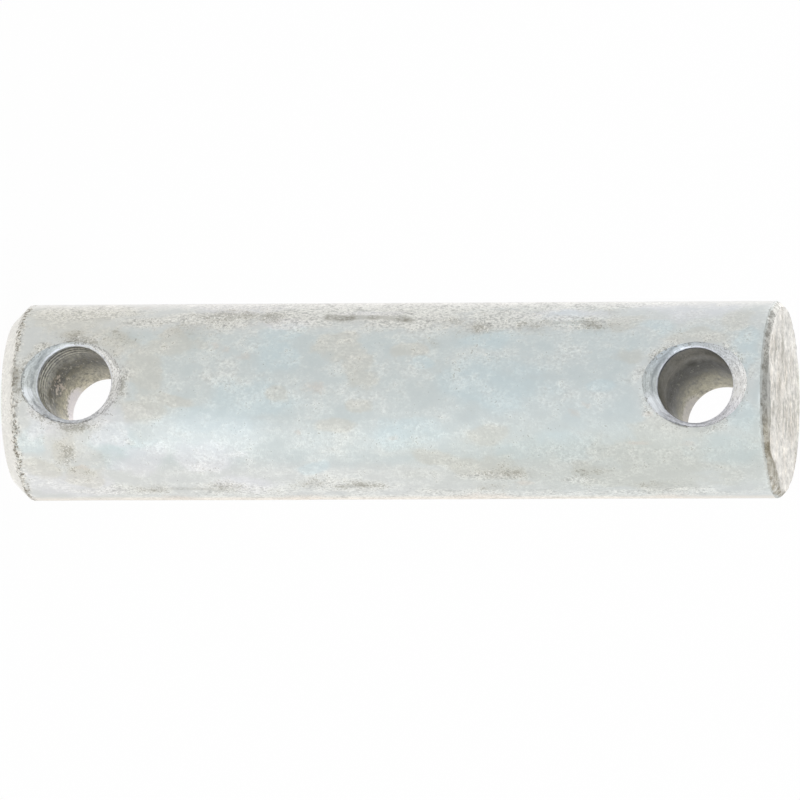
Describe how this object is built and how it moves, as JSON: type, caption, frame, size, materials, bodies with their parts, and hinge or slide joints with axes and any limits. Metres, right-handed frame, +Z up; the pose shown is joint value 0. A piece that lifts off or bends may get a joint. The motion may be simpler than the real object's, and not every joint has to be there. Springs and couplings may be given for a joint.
{
  "type": "cross-drilled clevis pin",
  "caption": "Headless round steel pin with a countersunk cross hole near each end, one end chamfered and the other cropped.",
  "frame": {"origin": "centre of the base face, at the chamfered end of the pin", "axes": "+Z up the bar from the chamfered end to the cropped end, +Y along the lower cross hole"},
  "size_m": [0.025, 0.025, 0.0992],
  "materials": {
    "zinc_plated_steel": "dull pale zinc plating over turned steel, stained and speckled with handling dirt"
  },
  "bodies": {
    "root": {"cross_drilled_pin": "zinc_plated_steel"}
  },
  "joints": []
}
